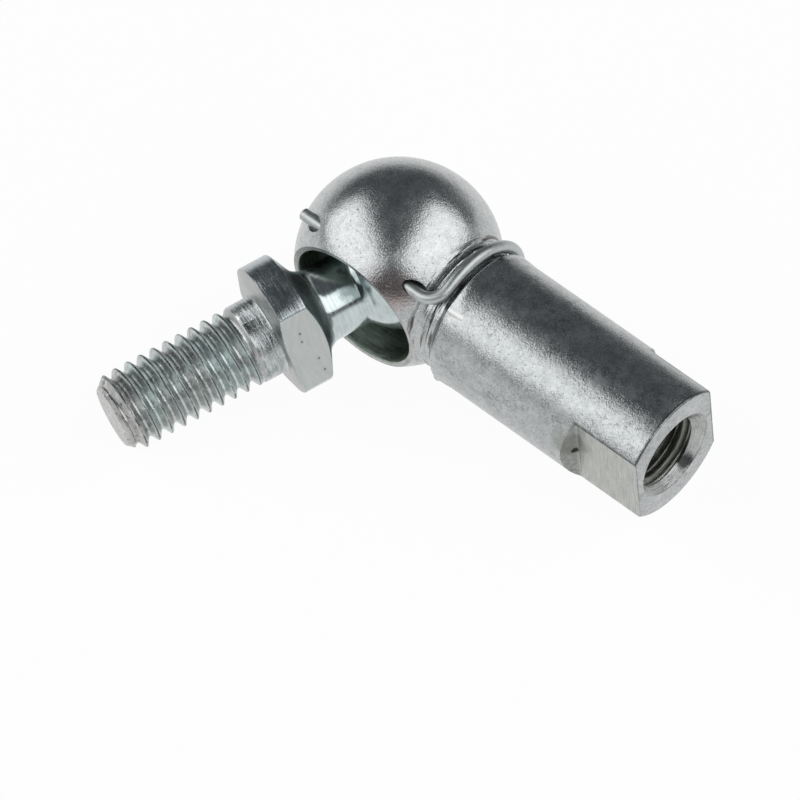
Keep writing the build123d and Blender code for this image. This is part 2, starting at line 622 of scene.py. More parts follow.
@dataclass(frozen=True, kw_only=True)
class TumbledZinc(MarkedZinc):
    """Plating over a tumbled blank: fine speckle, worn blots, a darkened groove and dark edges."""

    groove: tuple[float, float]
    edges: tuple[float, float]
    groove_dark: Colour = (0.07, 0.065, 0.055)
    worn: Colour = (0.06, 0.06, 0.06)
    scuffed: Colour = (0.15, 0.155, 0.16)

    def surface(self, sheet: Sheet) -> Surface:
        """Speckle, blots and pits, duller on the shank than on the head.

        Args:
            sheet: The material's node tree.

        Returns:
            The colour, the roughness and the normal.
        """
        x, y, z = sheet.axes(self.place)
        shoulder = self.groove[1]
        shank = x.ramp(shoulder, shoulder + 1.3)
        grain = sheet.noise(0.12 * MM, 2, 0.65) - 0.5
        cloud = sheet.noise(1.3 * MM, 3, 0.6) - 0.5
        blots = sheet.noise(0.5 * MM, 4, 0.7).ramp(0.4, 0.62) - 0.5
        pits = sheet.noise(0.2 * MM, 2).ramp(0.62, 0.72)
        shade = 0.57 - 0.14 * shank + grain + 0.7 * cloud + 0.2 * blots - 0.5 * pits
        colour = sheet.mix(shade, self.dark, self.light)
        colour, lines = self.grooved(sheet, (x, y, z), colour)
        colour = sheet.mix(0.75 * self.worn_edge(sheet, x, y), colour, self.worn)
        colour = self.marked(sheet, colour)
        scuff = ((sheet.noise(1.1 * MM, 5, 0.6) - 0.5) ** 2).ramp(0.0, 0.0005, 1.0, 0.0)
        scuff = scuff * sheet.noise(1.6 * MM, 2).ramp(0.5, 0.62)
        scuff = scuff * x.ramp(shoulder + 0.1, shoulder + 0.8)
        colour = sheet.mix(0.6 * scuff, colour, self.scuffed)
        gloss = self.gloss + 0.2 * cloud + 0.1 * grain + 0.15 * pits + 0.02 * shank
        fine = sheet.noise(0.13 * MM, 2, 0.6) * (1.4 + 0.6 * shank)
        relief = fine + 0.9 * sheet.noise(0.42 * MM, 2) + lines
        return colour, gloss, sheet.bump(relief, self.depth)

    def grooved(self, sheet: Sheet, at: Sequence[Wire], colour: Wire) -> tuple[Wire, Wire]:
        """Darkens the groove between its turning lines, more towards +z.

        Args:
            sheet: The material's node tree.
            at: The point's x, y and z.
            colour: The clean colour.

        Returns:
            The colour with the groove darkened, and the height of the lines.
        """
        x, y, z = at
        start, end = self.groove
        inside = x.ramp(start - 0.5, start) * x.ramp(end, end + 0.25, 1.0, 0.0)
        across = sheet.vector(x / 0.2, y / 2.5, z / 2.5)
        lines = sheet.noise(1.0, 2, 0.5, across).ramp(0.36, 0.5)
        darkened = sheet.mix(lines, self.groove_dark, colour)
        # The darkening is four times as strong towards +z as towards -z.
        upper = z.ramp(-1.0, 3.0, 0.25, 1.0)
        return sheet.mix(inside * upper, colour, darkened), 1.5 * lines * inside

    def worn_edge(self, sheet: Sheet, x: Wire, y: Wire) -> Wire:
        """Wear along the end of the shank and beside its flats.

        Args:
            sheet: The material's node tree.
            x: The point's place along the shank.
            y: Its place across the flats.

        Returns:
            1 where the plating is dark with wear.
        """
        end, flat = self.edges
        across = (y * y) ** 0.5
        rim = x.ramp(end - 0.3, end - 0.12) * x.ramp(end - 0.03, end, 1.0, 0.0)
        side = across.ramp(flat - 0.16, flat - 0.03) * x.ramp(end - 5.8, end - 5.5)
        return rim.at_least(side) * sheet.noise(0.7 * MM, 3, 0.6).ramp(0.25, 0.55)


@dataclass(frozen=True, kw_only=True)
class LinedZinc(MarkedZinc):
    """Plating over a turned or rolled surface, with fine broken lines around its axis."""

    turning: Turning
    lines: float
    contrast: float = 0.6
    line_length: float = 1.6

    def surface(self, sheet: Sheet) -> Surface:
        """Lines around the turning's axis, broken along their length.

        Args:
            sheet: The material's node tree.

        Returns:
            The colour, the roughness and the normal.
        """
        x, y, z = sheet.axes(self.place)
        if self.turning is Turning.SHANK:
            height, u, v = x, y, z
        elif self.turning is Turning.MOUTH:
            height, u, v = y, x, z
        else:
            height, u, v = z, x, y
        radius = (u * u + v * v) ** 0.5
        reach = self.line_length
        at = sheet.vector((height + radius) / self.lines, u / reach, v / reach)
        line = sheet.noise(1.0, 3, 0.65, at) - 0.5
        grain = sheet.noise(0.13 * MM, 2, 0.6) - 0.5
        cloud = sheet.noise(0.8 * MM, 3, 0.6) - 0.5
        shade = 0.5 + self.contrast * (2.4 * line + 0.9 * grain + 1.1 * cloud)
        colour = self.marked(sheet, sheet.mix(shade, self.dark, self.light))
        gloss = self.gloss + 0.3 * self.contrast * (line + grain + cloud)
        return colour, gloss, sheet.bump(1.4 * line + 0.35 * grain + 0.5 * cloud, self.depth)


@dataclass(frozen=True, kw_only=True)
class ThreadZinc(MarkedZinc):
    """Plating over a rolled thread, with the fine dark seam that rolling leaves along its crest."""

    pitch: float
    phase: float
    crest: float = 2.75
    tip: tuple[float, float] = (20.6, 21.8)
    bare: tuple[Colour, Colour] = ((0.3, 0.3, 0.3), (0.62, 0.615, 0.6))
    blotted: Colour = (0.1, 0.115, 0.115)
    fleck: Colour = (0.95, 0.97, 0.97)
    seam: Colour = (0.08, 0.1, 0.105)

    def surface(self, sheet: Sheet) -> Surface:
        """A broken seam on the crest, over clouded and blotted flanks that turn bare at the tip.

        Args:
            sheet: The material's node tree.

        Returns:
            The colour, the roughness and the normal.
        """
        x, y, z = sheet.axes(self.place)
        cloud = sheet.noise(0.6 * MM, 4, 0.65) - 0.5
        grain = sheet.noise(0.12 * MM, 3, 0.6) - 0.5
        shade = 0.45 + 1.4 * cloud + 0.8 * grain
        tip = z.ramp(*self.tip)
        bare = (0.6 * sheet.noise(2.0 * MM, 2).ramp(0.42, 0.6)).at_least(tip)
        plated = sheet.mix(shade, self.dark, self.light)
        colour = sheet.mix(bare, plated, sheet.mix(shade, *self.bare))
        blots = sheet.noise(0.5 * MM, 4, 0.7).ramp(0.55, 0.64)
        colour = sheet.mix(blots * (0.4 + 0.4 * tip), colour, self.blotted)
        flecks = sheet.noise(0.3 * MM, 3, 0.7).ramp(0.62, 0.68)
        colour = sheet.mix(0.7 * flecks, colour, self.fleck)
        broken = sheet.noise(0.9 * MM, 2).ramp(0.3, 0.55, 0.15, 0.95)
        colour = sheet.mix(self.on_seam(sheet, x, y, z) * broken, colour, self.seam)
        gloss = self.gloss + 0.25 * cloud + 0.15 * grain
        relief = cloud + 0.4 * grain - 0.5 * blots
        return self.marked(sheet, colour), gloss, sheet.bump(relief, self.depth)

    def on_seam(self, sheet: Sheet, x: Wire, y: Wire, z: Wire) -> Wire:
        """The seam, which wanders about the middle of the crest.

        Args:
            sheet: The material's node tree.
            x: The point's x.
            y: Its y.
            z: Its height on the stud.

        Returns:
            1 on the seam.
        """
        angle = sheet.node("ShaderNodeMath", {"operation": "ARCTAN2"}, {0: y, 1: x})
        turns = (z - self.phase) / self.pitch - angle / (2 * math.pi) + 0.5
        across = sheet.node("ShaderNodeMath", {"operation": "FRACT"}, {0: turns}) - 0.5
        wander = across + 0.05 * (sheet.noise(0.4 * MM, 3, 0.6) - 0.5)
        reach = ((x * x + y * y) ** 0.5).ramp(self.crest - 0.15, self.crest)
        return wander.ramp(-0.05, -0.01) * wander.ramp(0.06, 0.1, 1.0, 0.0) * reach


@dataclass(frozen=True, kw_only=True)
class MilledZinc(MarkedZinc):
    """Plating over a milled flat, with lines across the shank and a torn start."""

    start: float
    torn: tuple[Colour, Colour] = ((0.22, 0.225, 0.215), (0.35, 0.36, 0.345))

    def surface(self, sheet: Sheet) -> Surface:
        """Lines across the shank, broken along their length.

        Args:
            sheet: The material's node tree.

        Returns:
            The colour, the roughness and the normal.
        """
        x, _, z = sheet.axes(self.place)
        line = sheet.noise(1.0, 3, 0.65, sheet.vector(x / 0.13, z / 2.2, 0.0))
        grain = sheet.noise(0.14 * MM, 2)
        cloud = sheet.noise(0.35 * MM, 4, 0.65)
        torn = x.ramp(self.start - 0.15, self.start + 0.25, 1.0, 0.0)
        shade = 0.75 * line.ramp(0.25, 0.75) + 0.5 * (grain - 0.5) + 0.4 * (cloud - 0.5) + 0.1
        colour = sheet.mix(shade, self.dark, self.light)
        colour = sheet.mix(torn, colour, sheet.mix(cloud.ramp(0.3, 0.7), *self.torn))
        gloss = self.gloss + 0.2 * (line - 0.5) + 0.1 * torn
        relief = line + 0.3 * grain + 0.7 * torn * sheet.noise(0.2 * MM, 2)
        return self.marked(sheet, colour), gloss, sheet.bump(relief, self.depth)


def paint(
    form: bpy.types.Object, finish: Finish, other: Finish, there: Callable[[Vector], bool]
) -> None:
    """Gives a form one finish, and another one on some of its faces.

    Args:
        form: The object, still in its place's millimetres.
        finish: The finish of most faces.
        other: The finish of the rest.
        there: Whether a face with this centre takes the other finish.
    """
    for given in (finish, other):
        form.data.materials.append(given.material())
    for face in form.data.polygons:
        face.material_index = int(there(face.center))


class Slot(Enum):
    """The names of the record's material slots, which the new pieces don't take."""

    SOCKET = "socket_zinc"
    STUD = "stud_zinc"


# ---- Socket -------------------------------------------------------------------------------


@dataclass(frozen=True)
class Socket:
    """The ball socket: a head with a cup, a grooved neck, and a shank tapped for a rod."""

    place: Place
    head: float = 7.295
    shank: float = 5.072
    length: float = 25.146
    end_round: float = 0.14
    groove: tuple[float, float] = (5.3, 7.2)
    groove_radius: float = 4.62
    lip: float = 0.07
    cup: float = 5.05
    cup_drop: float = 0.45
    mouth: float = 4.8
    rim: float = 5.65
    flat: float = 3.9
    flat_start: float = 19.75
    flat_slope: float = 0.6
    sink: float = 3.35
    drill: float = 13.5
    drill_point: float = 118.0
    thread: Thread = Thread(pitch=1.0, crest=2.5, root=3.02, crest_flat=0.3, root_flat=0.14)
    thread_phase: float = 0.3
    thread_depth: float = 11.5
    hole_radius: float = 0.57
    hole_reach: float = 5.6
    hole_angle: float = 33.3
    hole_end: float = 8.8
    hole_lean: float = 2.1
    nick_radius: float = 0.5

    def blank(self) -> bpy.types.Object:
        """The turned blank, before anything is cut into it.

        Returns:
            The blank, in the socket's own millimetres.
        """
        start, end = self.groove
        low, crown = self.groove_radius, self.shank + self.lip
        edge = math.degrees(math.acos(start / self.head))
        profile = arc((0, 0), self.head, 180, edge, 90)
        # The groove: its near wall, the ridge between the tool's two passes, and its far wall.
        profile += [(start + 0.05, profile[-1][1] - 0.06), (start + 0.28, low + 0.05)]
        ridge = ((0.38, 0.0), (0.7, 0.01), (0.78, 0.08), (0.95, 0.1), (1.02, 0.02), (1.1, 0.0))
        profile += [(start + x, low + rise) for x, rise in ridge]
        profile += [(end - 0.35, low), (end - 0.22, low + 0.06)]
        # The shoulder, the swell behind it and the straight shank.
        shoulder = ((-0.02, 0.32), (0.03, 0.18), (0.12, 0.06), (0.28, 0.0), (0.75, 0.01))
        profile += [(end + x, crown - drop) for x, drop in shoulder]
        straight = (end + 1.5, *np.arange(end + 2.5, self.length - 0.5, 1.0))
        profile += [(x, self.shank) for x in straight]
        corner = (self.length - self.end_round, self.shank - self.end_round)
        profile += arc(corner, self.end_round, 90, 0, 4)
        profile += [(self.length, self.shank * 0.5), (self.length, 0.0)]
        mesh = turned("ball_socket_dressed", profile, Turning.SHANK, columns=240)
        return as_object(mesh, "ball_socket_dressed")

    def cup_cutter(self) -> bpy.types.Object:
        """The cup and the faced rim around it.

        Returns:
            The cutter, in the socket's own millimetres.
        """
        profile = arc((-self.cup_drop, 0), self.cup, 180, 90, 28)
        profile += [(x, self.cup) for x in np.arange(0.6, self.mouth - 0.3, 0.6)]
        profile += [(self.mouth - 0.14, self.cup), (self.mouth - 0.05, self.cup + 0.04)]
        profile += [(self.mouth, self.cup + 0.12), (self.mouth, self.rim)]
        profile += [(self.head + 1, self.rim), (self.head + 1, 0.0)]
        return as_object(turned("cup", profile, Turning.MOUTH, columns=192), "cup")

    def hole_cutter(self) -> bpy.types.Object:
        """The drilled way of the clip's leg, which scores the shank beside the groove.

        Returns:
            The cutter, in the socket's own millimetres.
        """
        start, end = self.groove
        profile = [(-self.head - 1, 0.0), (-self.head - 1, self.hole_radius)]
        profile += [(end - 0.1, self.hole_radius), (end, self.nick_radius)]
        profile += [(self.hole_end - 0.2, self.nick_radius), (self.hole_end, 0.0)]
        mesh = turned("hole", profile, Turning.SHANK, columns=40)
        angle = math.radians(self.hole_angle)
        across = Vector((0, -self.hole_reach * math.sin(angle), self.hole_reach * math.cos(angle)))
        exit_at = Matrix.Translation((start, 0, 0))
        lean = exit_at @ Matrix.Rotation(math.radians(self.hole_lean), 4, "Z") @ exit_at.inverted()
        mesh.transform(Matrix.Translation(across) @ lean)
        return as_object(mesh, "hole")

    def flat_cutter(self, side: int) -> bpy.types.Object:
        """One spanner flat, with the rounded run-out that the cutter left.

        Args:
            side: 1 or -1, the side of the shank that it is on.

        Returns:
            The cutter, in the socket's own millimetres.
        """
        high = self.shank + 1.0
        slope = (self.shank - self.flat) / self.flat_slope
        start, low = self.flat_start, self.flat
        run = [(start - (high - low) / slope, high), (start - 0.12, low + 0.22)]
        run += [(start - 0.03, low + 0.07), (start + 0.1, low)]
        run += [(self.length + 1, low), (self.length + 1, high)]
        count = len(run)
        points = [(x, side * y, z) for z in (-high, high) for x, y in run]
        faces = [list(range(count)), list(range(count, 2 * count))]
        faces += [[i, (i + 1) % count, (i + 1) % count + count, i + count] for i in range(count)]
        return as_object(welded("flat", points, faces), f"flat{side}")

    def sink_start(self) -> float:
        """Where along the shank the countersink meets the thread's crests."""
        return self.length - (self.sink - self.thread.crest)

    def tap_cutter(self) -> bpy.types.Object:
        """The drilled, tapped and countersunk hole.

        Returns:
            The cutter, in the socket's own millimetres.
        """
        core, columns = self.thread.crest, 120
        bottom = self.length - self.drill

        def share(height: np.ndarray) -> np.ndarray:
            """The thread fades out where the tap stopped."""
            return np.clip((height - (self.length - self.thread_depth)) / self.thread.pitch, 0, 1)

        angle = np.linspace(0, 2 * math.pi, columns, endpoint=False)
        start, end = bottom + 0.5, self.length - 0.02
        height, radius = self.thread.rows(start, end, self.thread_phase, angle, share)
        radius = np.maximum(radius, core + np.maximum(height - self.sink_start(), 0))
        ends = np.ones((1, columns))
        tip = bottom - core / math.tan(math.radians(self.drill_point / 2))
        first = [(tip, 0.0), (bottom, core)]
        last = [(self.length + 1, self.sink), (self.length + 1, 0.0)]
        before, behind = [[(h * ends, r * ends) for h, r in part] for part in (first, last)]
        height = np.concatenate([h for h, _ in before] + [height] + [h for h, _ in behind])
        radius = np.concatenate([r for _, r in before] + [radius] + [r for _, r in behind])
        rows = Turning.SHANK.point(height, radius, angle[None, :])
        meets = self.thread.meets(len(first), len(rows) - len(first) - len(last), len(last))
        return as_object(rows_mesh("tap", rows, meets), "tap")

    def skin(self) -> TumbledZinc:
        """The outside: a brownish stain and a paler bruise by the clip's hole, a dark spot and a
        painted wire shadow.

        Returns:
            The finish.
        """
        stain = Spot((3.5, -4.3, 4.75), 2.0, (0.42, 0.335, 0.315), 0.8)
        bruise = Spot((2.4, -4.6, 5.1), 2.6, (0.3, 0.3, 0.31), 0.3)
        beside_flat = Spot((19.4, -4.6, 1.5), 1.5, (0.2, 0.21, 0.18), 0.55)
        # Painted contact shadow where the clip's wire meets the shoulder.
        wire_contact_shadow = Spot((7.4, 2.5, 4.3), 0.5, (0.05, 0.05, 0.05), 0.9)
        return TumbledZinc(
            name="tumbled_zinc",
            light=(0.62, 0.635, 0.635),
            dark=(0.27, 0.285, 0.29),
            gloss=0.25,
            place=self.place,
            depth=0.011,
            groove=self.groove,
            edges=(self.length, self.flat),
            spots=(stain, bruise, beside_flat, wire_contact_shadow),
        )

    def milled(self) -> MilledZinc:
        """The spanner flats, with a smear and a deep pit at the start of the near one.

        Returns:
            The finish.
        """
        smear = Spot((self.flat_start - 0.2, -4.2, 1.1), 1.7, (0.15, 0.155, 0.14), 0.6)
        pit = Spot((self.flat_start - 0.1, -4.08, 0.16), 0.42, (0.01, 0.012, 0.004), 1.0)
        return MilledZinc(
            name="milled_zinc",
            light=(0.56, 0.57, 0.545),
            dark=(0.3, 0.308, 0.29),
            gloss=0.34,
            place=self.place,
            depth=0.006,
            start=self.flat_start,
            spots=(smear, pit),
        )

    def bored(self) -> LinedZinc:
        """The inside of the cup.

        Returns:
            The finish.
        """
        return LinedZinc(
            name="bored_zinc",
            light=(0.52, 0.58, 0.51),
            dark=(0.2, 0.235, 0.2),
            gloss=0.36,
            place=self.place,
            turning=Turning.MOUTH,
            lines=0.12,
            depth=0.02,
            contrast=0.9,
        )

    def faced(self) -> LinedZinc:
        """The cup's rim and the countersink, which has a painted dark reflection.

        Returns:
            The finish.
        """
        return LinedZinc(
            name="faced_zinc",
            light=(0.53, 0.54, 0.53),
            dark=(0.22, 0.225, 0.22),
            gloss=0.3,
            place=self.place,
            turning=Turning.SHANK,
            lines=0.09,
            depth=0.014,
            contrast=1.1,
            # A painted dark reflection in the countersink.
            spots=(Spot((24.76, 1.22, -2.7), 0.85, (0.05, 0.05, 0.05), 0.95),),
        )

    def tapped(self) -> LinedZinc:
        """The thread in the shank, in darker colours that are painted shade inside the bore.

        Returns:
            The finish.
        """
        return LinedZinc(
            name="shaded_tapped_zinc",
            # Darker than the faced finish: painted shade inside the bore.
            light=(0.36, 0.375, 0.34),
            dark=(0.12, 0.13, 0.11),
            gloss=0.38,
            place=self.place,
            turning=Turning.SHANK,
            lines=0.14,
            depth=0.01,
        )

    def build(self) -> bpy.types.Object:
        """The finished socket, which rides on the socket's body.

        Returns:
            The piece, in the row's metres.
        """
        piece = self.blank()
        piece.data.materials.append(self.skin().material())
        scored = Finish(
            name="scored_zinc", light=(0.95, 0.95, 0.94), dark=(0.7, 0.7, 0.7), gloss=0.55
        )
        cup, hole, tap = self.cup_cutter(), self.hole_cutter(), self.tap_cutter()
        flats = [self.flat_cutter(side) for side in (1, -1)]
        paint(cup, self.bored(), self.faced(), lambda at: at.y < 0.02 - self.mouth)
        paint(hole, self.skin(), scored, lambda at: at.x > self.groove[1] - 0.2)
        paint(tap, self.faced(), self.tapped(), lambda at: at.x < self.sink_start())
        for flat in flats:
            flat.data.materials.append(self.milled().material())
        carve(piece, [cup, hole, *flats, tap])
        settle(piece, self.place, sharp=24)
        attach(piece, "socket")
        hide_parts("ball_socket")
        return piece


# ---- Stud ---------------------------------------------------------------------------------


class StudFace(IntEnum):
    """The stud's finishes, in the order of its materials."""

    NECK = 0
    BACK = 1
    RIM = 2
    FLAT = 3
    PLAIN = 4
    BEVEL = 5
    THREAD = 6


@dataclass(frozen=True)
class Stud:
    """The ball stud: a ball, a neck, a round collar with two spanner flats and a rolled thread."""

    place: Place
    ball: float = 4.9
    ball_drop: float = 0.4
    ball_fillet: float = 0.8
    neck: float = 2.75
    collar_fillet: float = 1.2
    collar: float = 4.87
    rim_back: float = 8.07
    rim_front: float = 10.2
    back_angle: float = 26.0
    seat: float = 10.5
    washer: float = 3.9
    flats: float = 7.5
    rounding: float = 0.1
    plain: float = 2.93
    thread: Thread = Thread(pitch=1.0, crest=2.92, root=2.37, crest_flat=0.13, root_flat=0.22)
    thread_start: float = 12.2
    first_turn: float = 0.7
    tip: float = 22.848
    tip_radius: float = 2.2
    tip_slope: float = 0.85
    lower_crest: float = 12.65
    lower_angle: float = -51.3

    def angles(self) -> np.ndarray:
        """The columns' angles, with one exactly on each corner of the flats.

        Returns:
            The angles, in radians.
        """
        corner = math.acos(self.flats / 2 / self.collar)
        even = list(np.linspace(0, 2 * math.pi, 240, endpoint=False))
        extra = [
            half * math.pi + side * (corner + turn)
            for half in (0, 1)
            for side in (1, -1)
            for turn in (-0.008, 0, 0.008)
        ]
        return np.unique(np.round(np.mod(np.array(even + extra), 2 * math.pi), 6))

    def outline(self, angle: np.ndarray) -> np.ndarray:
        """The collar seen along the stud, with the corners of its flats broken.

        Args:
            angle: The columns' angles.

        Returns:
            The radius of the collar at each column.
        """
        flat = self.flats / 2 / np.maximum(np.abs(np.cos(angle)), 1e-6)
        corner = np.abs(flat - self.collar) < 0.004
        return np.minimum(self.collar, flat) - 0.02 * corner

    def neck_profile(self) -> Profile:
        """The ball and the neck, up to the fillet's end on the back of the collar.

        Returns:
            Heights and radii.
        """
        reach = self.neck + self.ball_fillet
        height = math.sqrt((self.ball + self.ball_fillet) ** 2 - reach**2)
        turn = math.degrees(math.atan2(height, reach))
        profile = arc((0, 0), self.ball, -90, turn, 64)
        profile += arc((reach, height), self.ball_fillet, 180 + turn, 180, 10)[1:]
        profile = [(h - self.ball_drop, r) for r, h in profile]
        blend = self.neck + self.collar_fillet
        lean = math.radians(self.back_angle)
        start = self.rim_back - (self.collar - blend) * math.tan(lean)
        start -= self.collar_fillet / math.cos(lean)
        bare = profile[-1][0]
        profile += [(bare + (start - bare) * i / 6, self.neck) for i in range(1, 6)]
        back = arc((blend, start), self.collar_fillet, 180, 90 + self.back_angle, 12)
        return profile + [(h, r) for r, h in back]

    def rings(self, angle: np.ndarray) -> tuple[list[np.ndarray], list[np.ndarray]]:
        """The rings from the ball to the end of the plain shank.

        Args:
            angle: The columns' angles.

        Returns:
            Their heights and their radii, one row of columns for each ring.
        """
        one = np.ones_like(angle)
        profile = self.neck_profile()
        heights = [h * one for h, _ in profile]
        radii = [r * one for _, r in profile]
        edge = self.outline(angle)
        slope = math.tan(math.radians(self.back_angle))
        back = self.rim_back - (self.collar - edge) * slope
        rise = (self.seat - self.rim_front) / (self.collar - self.washer)
        front = self.seat - np.maximum(edge - self.washer, 0) * rise
        e = self.rounding
        heights += [back - e * slope, back + 0.12 * e, back + 0.45 * e, back + e]
        radii += [edge - e, edge - 0.45 * e, edge - 0.12 * e, edge]
        heights += [back + (front - back) * t for t in (0.25, 0.5, 0.75)]
        radii += [edge] * 3
        heights += [front - e, front - 0.45 * e, front - 0.12 * e, front + 0.05 * e]
        radii += [edge, edge - 0.12 * e, edge - 0.45 * e, edge - e]
        inner = np.minimum(self.washer, edge - 1.5 * e)
        heights += [(self.seat + step) * one for step in (0.0, 0.0, 0.05, 0.2)]
        radii += [inner, (self.plain + 0.2) * one, (self.plain + 0.06) * one, self.plain * one]
        return heights, radii

    def lined(self, name: str, light: Colour, dark: Colour, gloss: float, **more: Any) -> LinedZinc:
        """A finish with lines around the stud's axis, unless more says otherwise."""
        given = {"place": self.place, "turning": Turning.STUD, "lines": 0.12, **more}
        return LinedZinc(name=name, light=light, dark=dark, gloss=gloss, **given)

    def finishes(self) -> dict[StudFace, Finish]:
        """Polished plating on the ball and the neck, plain on the flats and dull on the thread.

        Returns:
            A finish for each kind of face.
        """
        # Painted shade and a painted dark reflection of the cup, where the neck dips into the
        # mouth.
        painted_neck_shade = (
            Spot((1.98, 1.91, 4.6), 1.2, (0.24, 0.3, 0.3), 0.45),
            Spot((2.3, 1.5, 4.15), 1.45, (0.12, 0.155, 0.155), 0.85),
        )
        dots = tuple(
            Spot((self.flats / 2, y, z), 0.14, (0.12, 0.12, 0.12), 0.8)
            for y, z in ((1.38, 9.18), (0.7, 9.25), (-1.21, 8.56), (-2.28, 8.45))
        )
        rubbed = tuple(
            Spot(centre, 0.42, (0.95, 0.95, 0.93), 0.9)
            for centre in ((0.7, 2.85, 12.4), (1.4, 2.57, 12.42), (2.0, 2.13, 12.44))
        )
        soot = (
            Spot((2.72, 1.04, 12.3), 0.55, (0.1, 0.1, 0.1), 0.8),
            Spot((2.5, 1.55, 11.4), 0.7, (0.16, 0.16, 0.17), 0.35),
        )
        return {
            StudFace.NECK: self.lined(
                "turned_zinc",
                (0.66, 0.73, 0.73),
                (0.38, 0.43, 0.43),
                0.17,
                depth=0.0015,
                spots=painted_neck_shade,
            ),
            StudFace.BACK: self.lined(
                "back_zinc", (0.6, 0.67, 0.68), (0.3, 0.35, 0.36), 0.36, depth=0.006
            ),
            StudFace.RIM: self.lined(
                "rim_zinc",
                (0.55, 0.6, 0.615),
                (0.25, 0.28, 0.29),
                0.22,
                lines=0.14,
                depth=0.014,
                contrast=0.7,
            ),
            StudFace.FLAT: self.lined(
                "flat_zinc",
                (0.55, 0.58, 0.57),
                (0.4, 0.425, 0.415),
                0.3,
                turning=Turning.SHANK,
                lines=0.3,
                depth=0.003,
                contrast=0.5,
                spots=dots,
            ),
            StudFace.PLAIN: self.lined(
                "plain_zinc",
                (0.6, 0.63, 0.63),
                (0.24, 0.26, 0.265),
                0.27,
                lines=0.18,
                depth=0.03,
                contrast=1.1,
                spots=rubbed + soot,
            ),
            StudFace.BEVEL: self.lined(
                "bevel_zinc",
                (0.5, 0.51, 0.5),
                (0.3, 0.31, 0.31),
                0.34,
                lines=0.1,
                depth=0.008,
                contrast=0.8,
            ),
            StudFace.THREAD: ThreadZinc(
                name="thread_zinc",
                light=(0.66, 0.72, 0.71),
                dark=(0.38, 0.44, 0.43),
                gloss=0.32,
                place=self.place,
                depth=0.015,
                pitch=self.thread.pitch,
                phase=self.phase(),
            ),
        }

    def kind(self, face: bpy.types.MeshPolygon) -> StudFace:
        """Which finish a face takes, by where it lies.

        Args:
            face: A face of the stud, still in the stud's own millimetres.

        Returns:
            The kind of face.
        """
        height = face.center.z
        reach = math.hypot(face.center.x, face.center.y)
        if abs(face.normal.x) > 0.99 and abs(abs(face.center.x) - self.flats / 2) < 0.02:
            return StudFace.FLAT
        if height > self.thread_start + 0.5:
            return StudFace.THREAD
        if height > self.rim_front - 0.1 and face.normal.z > 0.5:
            return StudFace.BEVEL
        if height > self.seat - 0.02:
            return StudFace.PLAIN
        if reach > self.collar - 0.3 or height > self.rim_back:
            return StudFace.RIM
        if height > self.rim_back - (self.collar - self.neck) * 0.62:
            return StudFace.BACK
        return StudFace.NECK

    def phase(self) -> float:
        """The height of a crest of the thread at angle 0."""
        return self.lower_crest - self.thread.pitch * self.lower_angle / 360

    def build(self) -> bpy.types.Object:
        """The finished stud, which rides on the stud's body.

        Returns:
            The piece, in the row's metres.
        """
        angle = self.angles()
        one = np.ones_like(angle)
        heights, radii = self.rings(angle)

        def share(height: np.ndarray) -> np.ndarray:
            """The thread deepens over its first turn."""
            return np.clip((height - self.thread_start) / self.first_turn, 0, 1)

        height, radius = self.thread.rows(self.thread_start, self.tip, self.phase(), angle, share)
        radius = np.minimum(radius, self.tip_radius + (self.tip - height) * self.tip_slope)
        meets = self.thread.meets(len(heights), len(height), 2)
        heights += list(height) + [self.tip * one, self.tip * one]
        radii += list(radius) + [1.0 * one, 0.0 * one]
        rows = Turning.STUD.point(np.array(heights), np.array(radii), angle[None, :])
        piece = as_object(rows_mesh("ball_stud_dressed", rows, meets), "ball_stud_dressed")
        finishes = self.finishes()
        for kind in StudFace:
            piece.data.materials.append(finishes[kind].material())
        for face in piece.data.polygons:
            face.material_index = self.kind(face)
        settle(piece, self.place, sharp=26)
        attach(piece, "stud")
        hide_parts("ball_stud")
        return piece


# ---- Clip ---------------------------------------------------------------------------------


@dataclass(frozen=True)
class Clip:
    """The safety clip: one spring wire through the cup and around the neck."""

    place: Place

    def dress(self, node: bpy.types.Object) -> bpy.types.Object:
        """Gives the wire its drawn and polished finish.

        Args:
            node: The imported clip, whose mesh stays as it is.

        Returns:
            The clip.
        """
        drawn = LinedZinc(
            name="drawn_wire",
            light=(0.56, 0.585, 0.585),
            dark=(0.37, 0.39, 0.39),
            gloss=0.4,
            place=self.place,
            turning=Turning.SHANK,
            lines=0.5,
            depth=0.002,
        )
        node.data.materials.clear()
        node.data.materials.append(drawn.material())
        return node


# ---- Studio -------------------------------------------------------------------------------


def towards(azimuth: float, elevation: float) -> Vector:
    """The direction at an azimuth, counted from -Y towards +X, and an elevation, in degrees."""
    a, e = math.radians(azimuth), math.radians(elevation)
    return Vector((math.sin(a) * math.cos(e), -math.cos(a) * math.cos(e), math.sin(e)))


@dataclass(frozen=True)
class SoftBox:
    """A large soft lamp that faces the joint."""

    name: str
    azimuth: float
    elevation: float
    wide: float
    high: float
    glow: float
    distance: float = 0.6

    def build(self) -> bpy.types.Object:
        """The lamp, whose face has the stated radiance.

        Returns:
            The lamp's object.
        """
        lamp = bpy.data.lights.new(self.name, "AREA")
        lamp.shape = "RECTANGLE"
        lamp.size = 2 * self.distance * math.tan(math.radians(self.wide / 2))
        lamp.size_y = 2 * self.distance * math.tan(math.radians(self.high / 2))
        lamp.energy = self.glow * math.pi * lamp.size * lamp.size_y
        made = as_object(lamp, self.name)
        way = towards(self.azimuth, self.elevation)
        made.location = way * self.distance
        made.rotation_euler = way.to_track_quat("Z", "Y").to_euler()
        return made


